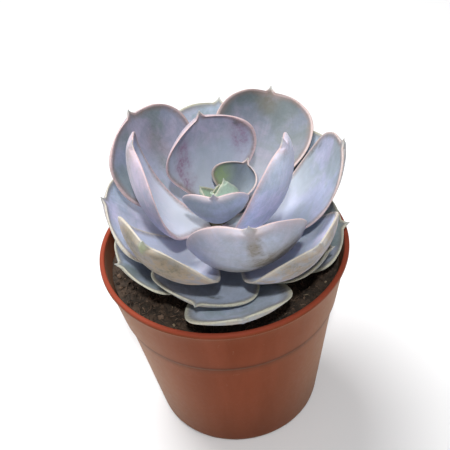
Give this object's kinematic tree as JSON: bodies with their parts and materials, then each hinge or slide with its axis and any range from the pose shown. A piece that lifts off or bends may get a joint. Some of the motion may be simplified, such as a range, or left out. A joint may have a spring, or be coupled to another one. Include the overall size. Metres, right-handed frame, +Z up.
{
  "type": "potted echeveria",
  "caption": "Powdery grey-lavender echeveria rosette of fleshy spoon-shaped leaves, growing in dark soil in a tapered brown plastic nursery pot with a stepped collar and rolled lip.",
  "frame": {"origin": "centre of the pot's underside, on the plane that the pot stands on", "axes": "+Z up along the pot's axis; -Y is the side of the plant that is seen first"},
  "size_m": [0.1053, 0.1151, 0.1566],
  "materials": {
    "pot": "matte",
    "soil": "matte",
    "stem": "matte",
    "leaf": "matte",
    "old_leaf": "matte",
    "heart": "matte"
  },
  "bodies": {
    "root": {"pot": "pot", "soil": "soil", "stem": "stem", "leaf_00": "leaf", "leaf_01": "leaf", "leaf_02": "leaf", "leaf_03": "leaf", "leaf_04": "leaf", "leaf_05": "leaf", "leaf_06": "leaf", "leaf_07": "leaf", "leaf_08": "leaf", "leaf_09": "leaf", "leaf_10": "leaf", "leaf_11": "leaf", "leaf_12": "old_leaf", "leaf_13": "leaf", "leaf_14": "old_leaf", "leaf_15": "old_leaf", "leaf_16": "old_leaf", "leaf_17": "old_leaf", "leaf_18": "old_leaf", "leaf_19": "old_leaf", "leaf_20": "old_leaf", "leaf_21": "old_leaf", "heart": "heart"}
  },
  "joints": []
}
